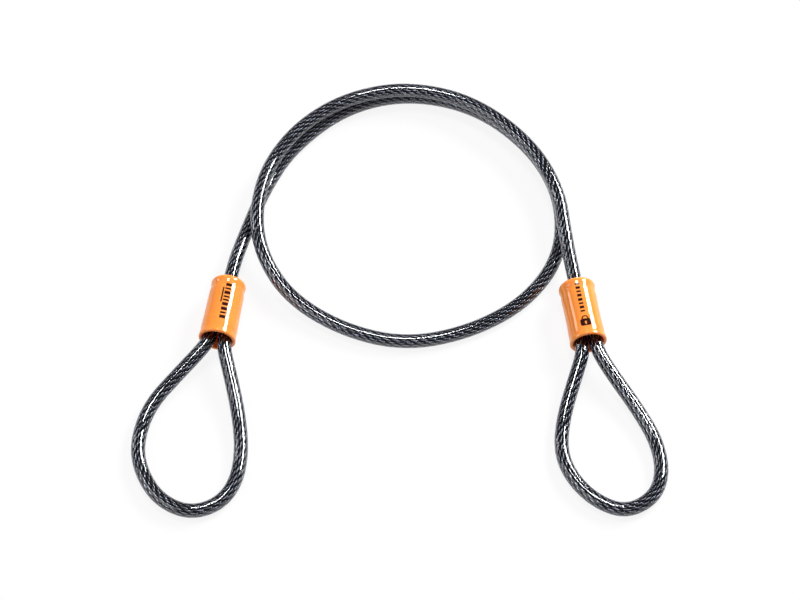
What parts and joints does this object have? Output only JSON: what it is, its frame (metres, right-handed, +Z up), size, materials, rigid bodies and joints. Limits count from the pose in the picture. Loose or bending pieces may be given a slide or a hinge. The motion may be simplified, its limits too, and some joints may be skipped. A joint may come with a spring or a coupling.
{
  "type": "cable lock",
  "caption": "Double-loop security cable: steel wire rope in clear vinyl, laid in one ring, with a crimped eye at each end under a coloured vinyl sleeve.",
  "frame": {"origin": "on the surface that the cable lies on, under the middle of the whole", "axes": "+Z up from the surface, +X from the left eye towards the right eye, +Y from the eyes towards the ring"},
  "size_m": [0.1905, 0.1862, 0.0137],
  "materials": {
    "wire_rope": "bright drawn galvanised wire",
    "clear_vinyl": "clear, smooth and glossy",
    "ferrule_alloy": "pressed, satin",
    "orange_vinyl": "soft, smooth and glossy",
    "sleeve_print": "printed ink"
  },
  "bodies": {
    "root": {"king_strand": "wire_rope", "outer_strands": "wire_rope", "main_jacket": "clear_vinyl", "left_eye_jacket": "clear_vinyl", "right_eye_jacket": "clear_vinyl", "left_ferrule": "ferrule_alloy", "right_ferrule": "ferrule_alloy", "left_sleeve": "orange_vinyl", "right_sleeve": "orange_vinyl"}
  },
  "joints": []
}
